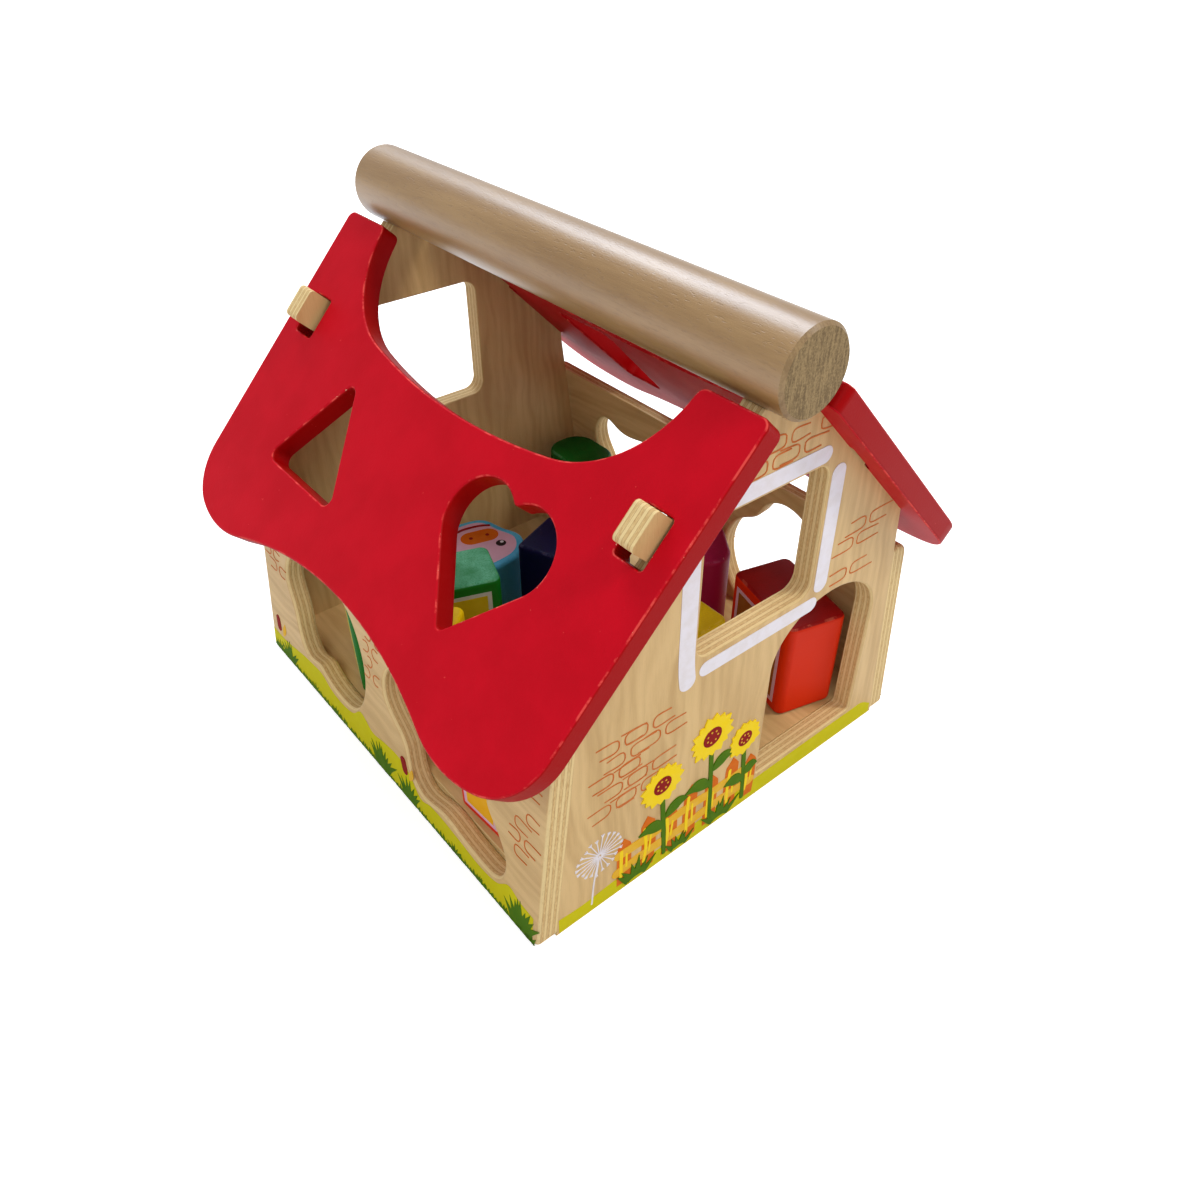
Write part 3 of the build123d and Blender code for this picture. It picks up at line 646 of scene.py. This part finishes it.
def stroke(points, half, cap=True):
    """Band of one width through points; with a cap its ends are half circles inside its length."""
    dense = through(points)
    run = np.concatenate([[0], np.cumsum(np.linalg.norm(np.diff(dense, axis=0), axis=1))])
    total = run[-1]
    if cap:
        radius = min(half, total / 2)
        turn = np.linspace(CAP_START, pi / 2, CAP_POINTS)
        straight = total - 2 * radius
        middle = np.linspace(radius, total - radius, int(straight / POINT_SPACING) + 2)[1:-1]
        start = radius * (1 - np.cos(turn))
        at = np.concatenate([start, middle, total - start[::-1]])
        rise = half * np.sin(turn)
        widths = np.concatenate([rise, np.full(len(middle), half), rise[::-1]])
    else:
        at = np.linspace(0, total, max(4, int(total / POINT_SPACING)))
        widths = np.full(len(at), half)
    spine = np.stack([np.interp(at, run, dense[:, k]) for k in range(2)], axis=1)
    return edges_of(spine, widths)


def leaf(points, half):
    """Pointed leaf: its half width follows a sine from stem to tip, the belly nearer the stem."""
    spine = through(points)
    t = np.linspace(0, 1, len(spine))
    return edges_of(spine, np.maximum(half * np.sin(pi * t**0.8), POINT_HALF))


def blade(points, half):
    """Blade of grass: widest at the ground, running out to a point."""
    spine = through(points)
    t = np.linspace(0, 1, len(spine))
    return edges_of(spine, np.maximum(half * (1 - t**1.6), POINT_HALF))


def disc(middle, radius):
    """Round spot."""
    x, y = middle
    return stroke([(x - radius, y), (x, y), (x + radius, y)], radius)


def flat_way(angle):
    """Direction in a flat face, by its angle from the right."""
    return np.array([cos(angle), sin(angle)])


def flat_face(origin, right, up):
    """Flat face by a point in millimetres and its own right and up, seen from outside."""
    return np.array(origin, float), np.array(right, float), np.array(up, float)


FRONT = flat_face((0, -HALF_LENGTH, 0), (1, 0, 0), (0, 0, 1))
REAR = flat_face((0, HALF_LENGTH, 0), (-1, 0, 0), (0, 0, 1))
LEFT = flat_face((-HALF_BASE, 0, 0), (0, -1, 0), (sin(LEAN), 0, cos(LEAN)))
RIGHT = flat_face((HALF_BASE, 0, 0), (0, 1, 0), (-sin(LEAN), 0, cos(LEAN)))


def block_face(node, turn, side, half):
    """Upright face of a turned block: side 0 is its own +X face, 90 its +Y face and so on."""
    low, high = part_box(node)
    angle = radians(turn + side)
    outward = np.array([cos(angle), sin(angle), 0])
    middle = np.array([(low.x + high.x) * 500, (low.y + high.y) * 500, 0])
    return flat_face(middle + outward * half, (-outward[1], outward[0], 0), (0, 0, 1))


def film(name, strokes, face, material, body, level=0):
    """Printed film on a flat face: each band's skin stands a hair above the face, its rim goes down
    into it and its underside closes it."""
    origin, right, up = face
    outward = np.cross(right, up)
    corners, quads, start = [], [], 0
    for number, (first, second) in enumerate(strokes):
        count = len(first)
        flat = np.concatenate([first, second])
        flat[:, 1] = np.maximum(flat[:, 1], FOOT_ROOM)
        ground = origin + flat[:, :1] * right + flat[:, 1:] * up
        height = FILM + FILM_LEVEL * level + FILM_STAGGER * (number % 10)
        corners += [ground + outward * height, ground - outward * FILM_ROOT]
        a = np.arange(count - 1)
        b, c, d, under = a + 1, a + count, a + count + 1, 2 * count
        last = count - 1
        ends = [
            [0, count, count + under, under],
            [last, last + under, last + count + under, last + count],
        ]
        bands = [
            np.stack([a, b, d, c], 1), np.stack([a, c, d, b], 1) + under,
            np.stack([a, a + under, b + under, b], 1), np.stack([c, d, d + under, c + under], 1),
            np.array(ends),
        ]
        quads.append(np.concatenate(bands) + start)
        start += 4 * count
    data = bpy.data.meshes.new(name)
    data.from_pydata((np.concatenate(corners) / 1000).tolist(), [], np.concatenate(quads).tolist())
    work = bmesh.new()
    work.from_mesh(data)
    bmesh.ops.recalc_face_normals(work, faces=work.faces)
    work.to_mesh(data)
    work.free()
    data.materials.append(material)
    piece = bpy.data.objects.new(name, data)
    bpy.context.scene.collection.objects.link(piece)
    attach(piece, body)


# Prints on the house

BRICK_INK = ink("brick_ink", shade(190, 98, 42), shade(206, 134, 84))
LIME_INK = ink("lime_ink", shade(196, 186, 0), shade(202, 194, 14))
GRASS_INK = ink("grass_ink", shade(68, 108, 0), shade(84, 120, 4))
BERRY_INK = ink("berry_ink", shade(134, 14, 14), shade(146, 26, 22))
WHITE_INK = ink("white_ink", shade(226, 220, 224), shade(214, 204, 200))
OCHRE_INK = ink("ochre_ink", shade(222, 170, 40), shade(226, 182, 76))
ORANGE_INK = ink("orange_ink", shade(206, 98, 14), shade(214, 124, 40))
SUN_INK = ink("sun_ink", shade(238, 204, 20), shade(236, 206, 60))
PINK_INK = ink("pink_ink", shade(214, 168, 186), shade(204, 160, 176))
DARK_INK = ink("dark_ink", shade(40, 26, 24), shade(54, 38, 34))


def hairpin(rng, place, height, reach, side):
    """Rounded end of a drawn brick: two legs of unequal length joined by a round turn."""
    x, y = place
    legs = reach * rng.uniform(0.75, 1.15, 2)
    tilt = rng.normal(0, 0.35, 2)
    bow = height * 0.28
    return [
        (x + side * legs[0], y + height + tilt[0]), (x + side * bow, y + height), (x, y + height * 0.5),
        (x + side * bow, y), (x + side * legs[1], y + tilt[1]),
    ]


def brick_marks(seed, corner, rows, joints, row_height=6.9, brick=15.0, lean=0.0):
    """Rows of hand-drawn bricks of which only the rounded ends are there; every other row is shifted
    along."""
    rng = np.random.default_rng(seed)
    marks = []
    for row in range(rows):
        for joint in range(joints):
            shift = (row % 2) * brick * BRICK_SHIFT
            x = corner[0] + joint * brick + shift + rng.normal(0, 0.7) + lean * row
            y = corner[1] + row * row_height + rng.normal(0, 0.25)
            for side in (-1, 1):
                if rng.uniform() < BRICK_CHANCE:
                    turn_at = (x + side * BRICK_JOINT, y)
                    points = hairpin(rng, turn_at, row_height - BRICK_GROUT, brick * BRICK_REACH, side)
                    marks.append(stroke(points, BRICK_LINE))
    return marks


def wavy_band(points):
    """Band between a straight foot and a smooth upper line."""
    upper = through(points, 10)
    foot = upper.copy()
    foot[:, 1] = GRASS_FOOT
    return upper, foot


def tuft(rng, x, height, spread, count, foot=GRASS_FOOT):
    """Tuft of grass: blades that fan out from one root."""
    blades = []
    for lean in np.linspace(-1, 1, count):
        tip = height * (1 - 0.35 * abs(lean)) * rng.uniform(0.8, 1.05)
        root = x + lean * spread * 0.35
        tip_x = x + lean * spread + rng.normal(0, spread * 0.08)
        line = [(root, foot), ((root * 2 + tip_x) / 3, tip * 0.5), (tip_x, tip)]
        blades.append(blade(line, height * 0.13))
    return blades


def fringe(rng, start, end, spacing, low, high):
    """Row of short blades along the foot."""
    blades = []
    for x in np.arange(start, end, spacing):
        height = rng.uniform(low, high)
        tip = x + rng.normal(0, 0.8)
        line = [(x, GRASS_FOOT), ((x + tip) / 2, GRASS_FOOT + height * 0.5), (tip, GRASS_FOOT + height)]
        blades.append(blade(line, SHORT_BLADE))
    return blades


def print_front():
    """Prints of the front gable: window frame, bricks, grass, and a fence with sunflowers."""
    strips = [
        stroke([(-34.8, 157.0), (-34.2, 125.0), (-33.8, 104.0), (-32.2, 91.0)], 3.8),
        stroke([(-27.2, 96.2), (34.2, 96.2)], 3.3),
        stroke([(34.8, 100.8), (33.8, 156.6)], 3.6),
        stroke([(-30.0, 163.0), (28.0, 163.2)], 3.3),
    ]
    film("window_strips", strips, FRONT, WHITE_INK, "house", 1)
    bricks = (
        brick_marks(3, (-67.0, 52.0), 5, 2, 7.4, 13.5, 1.2)
        + brick_marks(5, (52.0, 100.5), 4, 1)
        + brick_marks(8, (-2.0, 167.6), 2, 2, 6.6, 13.0, 1.0)
    )
    film("front_bricks", bricks, FRONT, BRICK_INK, "house")
    band = wavy_band([
        (-91.6, 8.6), (-80, 7.8), (-68, 8.8), (-52, 9.6), (-30, 8.8), (-8, 9.8), (12, 10.6),
        (44, 10.9), (74, 10.9), (84, 10.6), (91.4, 6.0),
    ])
    film("front_grass_band", [band], FRONT, LIME_INK, "house")
    rng = np.random.default_rng(11)
    print_fence(rng)
    print_sunflowers(rng)
    print_fence_leaves(rng)
    print_dandelion(rng)


def print_fence(rng):
    """Low picket fence: pickets, two rails over them and light streaks."""
    pickets, lights = [], []
    for x, height in PICKETS:
        bow = rng.normal(0, 0.8)
        spine = through([(x, 4), (x + bow, height / 2), (x, height)])
        to_tip = height - spine[:, 1]
        pickets.append(edges_of(spine, np.minimum(PICKET_HALF, 0.05 + to_tip * 0.75)))
        lights.append(stroke([(x - 1.6, 8), (x - 1.6 + bow, height / 2), (x - 1.5, height - 6)], 0.8))
        lights.append(stroke([(x + 1.1, 13), (x + 1.1 + bow * 0.8, height / 2 + 6)], 0.5))
    rails = [
        stroke([(-66, 12.5), (-48, 13.6), (-30, 12.6), (-12, 13.8), (12, 12.6)], 2.5),
        stroke([(-65, 23.0), (-46, 22.0), (-28, 23.4), (-12, 22.4), (11, 23.0)], 2.5),
    ]
    film("fence_pickets", pickets, FRONT, ORANGE_INK, "house", 1)
    film("fence_rails", rails, FRONT, OCHRE_INK, "house", 2)
    film("fence_lights", lights, FRONT, SUN_INK, "house", 3)


def print_sunflowers(rng):
    """Sunflowers in front of the fence: stems, petals round a heart, and a ring of seeds."""
    stems, petals, hearts, seeds = [], [], [], []
    for (x, y), radius in SUNFLOWERS:
        stems.append(stroke([(x + 3, 4), (x + 1.8, y * 0.5), (x, y)], 1.1))
        middle = np.array([x, y])
        for angle in np.linspace(0, 2 * pi, PETALS, endpoint=False) + rng.uniform(0, 0.4):
            way = flat_way(angle)
            reach = radius * rng.uniform(0.92, 1.06)
            spine = [middle + way * radius * 0.3, middle + way * reach * 0.7, middle + way * reach]
            petals.append(leaf(spine, 2.4))
        hearts.append(disc((x, y), radius * 0.42))
        for angle in np.linspace(0, 2 * pi, SEEDS, endpoint=False):
            seeds.append(disc(middle + flat_way(angle) * radius * 0.24, 0.45))
    film("sunflower_stems", stems, FRONT, GRASS_INK, "house", 4)
    film("sunflower_petals", petals, FRONT, SUN_INK, "house", 5)
    film("sunflower_hearts", hearts, FRONT, BERRY_INK, "house", 6)
    film("sunflower_seeds", seeds, FRONT, OCHRE_INK, "house", 7)


def print_fence_leaves(rng):
    """Leaves of the sunflowers and tufts along the fence. A leaf has its root, reach and side."""
    leaves = []
    for root_x, root_y, reach, side in (
        (-40, 22, 13, -1), (-39.5, 27, 12, 1), (-15.5, 28, 14, -1),
        (-15, 36, 12, 1), (4.5, 20, 8, 1), (4, 17, 11, -1),
    ):
        bend = (root_x + side * reach * 0.5, root_y + reach * 0.35)
        tip = (root_x + side * reach, root_y + reach * 0.3)
        leaves.append(leaf([(root_x, root_y), bend, tip], 3.2))
    for x, height, spread in ((-54, 16, 10), (-31, 13, 8), (-8, 16, 10)):
        leaves += tuft(rng, x, height, spread, 6, 3.0)
    film("fence_leaves", leaves, FRONT, GRASS_INK, "house", 5)


def print_dandelion(rng):
    """Dandelion clock: a stem, and rays that each end in three hairs."""
    middle = np.array(CLOCK_MIDDLE)
    clock = [stroke([(-76, 4), (-74.6, 18), CLOCK_MIDDLE], 0.4)]
    for angle in np.linspace(0, 2 * pi, CLOCK_RAYS, endpoint=False):
        way = flat_way(angle)
        reach = CLOCK_RADIUS * rng.uniform(0.86, 1.05)
        tip = middle + way * reach
        clock.append(stroke([middle + way * 0.8, tip], 0.2))
        for bend in (-0.42, 0.0, 0.42):
            hair = flat_way(angle + bend)
            clock.append(stroke([tip, tip + hair * 1.8], 0.18))
    film("dandelion_clock", clock, FRONT, WHITE_INK, "house", 1)


def print_rear():
    """Prints of the rear gable: grass band with short blades and a few tufts, and bricks."""
    rng = np.random.default_rng(41)
    band = wavy_band([
        (-91.4, 8.6), (-72, 7.8), (-52, 9.6), (-30, 8.4), (-8, 9.8),
        (20, 8.6), (46, 10.4), (70, 9.0), (91.4, 8.4),
    ])
    film("rear_grass_band", [band], REAR, LIME_INK, "house")
    tufts = fringe(rng, -90.0, 90.0, 1.45, 1.2, 3.8)
    for x, height, spread in ((-76, 13, 9), (-20, 9, 6), (38, 15, 10), (82, 10, 6)):
        tufts += tuft(rng, x, height, spread, 7)
    film("rear_grass", tufts, REAR, GRASS_INK, "house", 1)
    bricks = (
        brick_marks(43, (-60.0, 40.0), 5, 2, 7.4, 13.5, 1.2)
        + brick_marks(44, (50.0, 96.0), 4, 1)
        + brick_marks(45, (24.0, 56.0), 4, 2, 6.9, 13.0)
    )
    film("rear_bricks", bricks, REAR, BRICK_INK, "house")


def print_wall(wall, face, seed):
    """Prints of a side wall: lime band that dips under the openings, tufts, bulrushes and bricks."""
    rng = np.random.default_rng(seed)
    band = wavy_band([
        (-110.5, 11.0), (-100, 10.6), (-88, 12.4), (-78, 14.4), (-70, 15.4), (-58, 16.2),
        (-49, 12.8), (-38.6, 11.8), (-28, 13.9), (-20, 20.0), (-10, 15.8), (0, 17.6),
        (10, 18.8), (19, 17.4), (29.5, 9.2), (37, 10.9), (45, 11.6), (60, 10.6),
        (74, 9.4), (85, 11.2), (92.5, 17.0), (100, 15.0), (108.5, 14.4),
    ])
    film(f"{wall}_grass_band", [band], face, LIME_INK, "house")
    tufts = fringe(rng, -109.5, 109.5, 1.45, 1.2, 3.8)
    for x, height, spread, count in (
        (-93, 13, 9, 7), (-104, 8, 6, 5), (-2, 16, 11, 9), (21, 14, 9, 7), (101, 17, 11, 9), (108, 8, 3, 3),
        (56, 6, 5, 5), (-45, 6, 5, 5), (74, 5, 4, 5), (-66, 6, 5, 5),
    ):
        tufts += tuft(rng, x, height, spread, count)
    film(f"{wall}_grass", tufts, face, GRASS_INK, "house", 1)
    heads = [stroke([(-103.6, 22.4), (-102.6, 13.4)], 2.0), stroke([(15.6, 22.0), (18.6, 13.6)], 2.1)]
    film(f"{wall}_bulrush_heads", heads, face, BERRY_INK, "house", 2)
    patches = [
        leaf([(-99.0, 12.0), (-97.0, 17.0), (-96.0, 21.0)], 1.6),
        leaf([(21.6, 12.4), (23, 17), (23.4, 20)], 1.5),
    ]
    film(f"{wall}_bulrush_patches", patches, face, OCHRE_INK, "house", 1)
    bricks = (
        brick_marks(seed + 10, (-7.6, 46.0), 4, 1, 6.9, 6.0)
        + brick_marks(seed + 12, (93.2, 38.0), 7, 1, 6.9, 11.0)
        + brick_marks(seed + 14, (-100.5, 44.0), 6, 1, 6.9, 8.0)
    )
    film(f"{wall}_bricks", bricks, face, BRICK_INK, "house")


# Prints on the blocks

def field(name, node, face, half, heights, rim, fill):
    """Printed panel on the side of a block: a pale border and a coloured field inside it."""
    low, high = heights
    middle = (low + high) / 2
    half_height = (high - low) / 2
    border = stroke([(-half, middle), (half, middle)], half_height, cap=False)
    inner_half = half - FIELD_BORDER
    inner = stroke([(-inner_half, middle), (inner_half, middle)], half_height - FIELD_BORDER, cap=False)
    film(f"{name}_border", [border], face, rim, node)
    film(f"{name}_field", [inner], face, fill, node, 1)


def print_blocks():
    """Fields on the sides of the blocks and the animal face on top of the light-blue one."""
    brown = ink("brown_ink", shade(150, 84, 30), shade(160, 98, 44))
    # Yellow of the green block's front field darkened to olive: painted shade; the end field keeps the plain
    # yellow
    yellow_in_shade = ink("olive_ink", shade(176, 160, 18), shade(186, 168, 36))
    sunny = ink("sunny_ink", shade(224, 208, 4), shade(214, 196, 10))
    grey = ink("grey_ink", shade(178, 186, 178), shade(166, 176, 166))
    amber = ink("amber_ink", shade(226, 164, 24), shade(230, 172, 50))
    for name, side in (("orange_side", 180), ("orange_far_side", 0)):
        face = block_face("orange_block", ORANGE_TURN, side, ORANGE_REACH)
        field(name, "orange_block", face, ORANGE_FIELD_HALF, ORANGE_FIELD_HEIGHTS, PINK_INK, brown)
    face = block_face("green_block", GREEN_TURN, 270, GREEN_REACH)
    field("green_front", "green_block", face, GREEN_FIELD_HALF, GREEN_FIELD_HEIGHTS, grey, yellow_in_shade)
    face = block_face("green_block", GREEN_TURN, 180, GREEN_END_REACH)
    field("green_end", "green_block", face, GREEN_END_HALF, GREEN_FIELD_HEIGHTS, grey, sunny)
    for name, side in (("red_side", 180), ("red_far_side", 0)):
        face = block_face("red_block", RED_TURN, side, RED_REACH)
        field(name, "red_block", face, RED_FIELD_HALF, RED_FIELD_HEIGHTS, PINK_INK, amber)
    mark = [stroke([(-6, 57), (-2, 52), (1, 55), (6, 48)], 1.0)]
    face = block_face("navy_block", NAVY_TURN, 270, NAVY_REACH)
    film("navy_mark", mark, face, OCHRE_INK, "navy_block")
    print_animal()


# Outline of the light-blue block seen from above, in millimetres
SKY_OUTLINE = (
    (16.2, 57.5), (7.6, 46.6), (-10.0, 43.8), (-27.5, 47.2), (-41.0, 57.0), (-44.5, 70.0),
    (-36.0, 82.0), (-19.0, 87.6), (-1.0, 87.2), (9.6, 82.6), (13.6, 70.0),
)


def print_animal():
    """Plain animal face on the light-blue block: a pink ground inside the rim, a snout with two
    nostrils, two eyes and a mouth. The ground is a band between the outline's front and rear halves."""
    top = flat_face((0, 0, LOW_TOP), (1, 0, 0), (0, 1, 0))
    outline = closed_through(SKY_OUTLINE, 10)
    middle = outline.mean(axis=0)
    away = outline - middle
    inset = middle + away * (1 - ANIMAL_RIM / np.linalg.norm(away, axis=1, keepdims=True))
    leftmost, rightmost = inset[:, 0].argmin(), inset[:, 0].argmax()
    around = np.roll(inset, -rightmost, axis=0)
    split = (leftmost - rightmost) % len(inset)
    halves = [around[:split + 1], np.concatenate([around[split:], around[:1]])[::-1]]
    across = np.linspace(0.002, 0.998, 60)
    x = inset[rightmost, 0] + (inset[leftmost, 0] - inset[rightmost, 0]) * across
    edges = []
    for half in halves:
        order = np.argsort(-half[:, 0])
        edges.append(np.stack([x, np.interp(-x, -half[order, 0], half[order, 1])], axis=1))
    film("animal_ground", [tuple(edges)], top, PINK_INK, "sky_block")
    snout = [stroke([(-10.5, 73.1), (8.5, 67.9)], 5.4)]
    film("animal_snout", snout, top, ORANGE_INK, "sky_block", 1)
    dots = [disc((-5.4, 71.7), 1.0), disc((3.0, 69.4), 1.0)]
    mouth = [stroke([(-9.0, 80.5), (-3.5, 80.6), (4.4, 78.4), (9.0, 75.4)], 0.8)]
    film("animal_mouth", dots + mouth, top, BERRY_INK, "sky_block", 2)
    eyes = [disc((4.3, 59.0), 2.6), disc((-19.5, 65.5), 2.6)]
    film("animal_eyes", eyes, top, DARK_INK, "sky_block", 1)
    glints = [disc((5.2, 59.6), 0.9), disc((-18.6, 66.1), 0.9)]
    film("animal_glints", glints, top, WHITE_INK, "sky_block", 2)


aim_camera()
light_world()
lay_floor()
sun("window_above", (0.30, 0.59, 0.75), 1.8, 30, (0.82, 0.90, 1.0))
sun("room_key", (0.45, -0.45, 0.77), 1.3, 16, (1.0, 0.98, 0.94))
sun("side_fill", (-0.60, -0.20, 0.77), 0.9, 50, (1.0, 0.99, 0.97))
dress_house()
dress_roof()
dress_blocks()
print_front()
print_rear()
print_wall("left_wall", LEFT, 21)
print_wall("right_wall", RIGHT, 51)
print_blocks()

bpy.context.scene.view_settings.view_transform = "Standard"
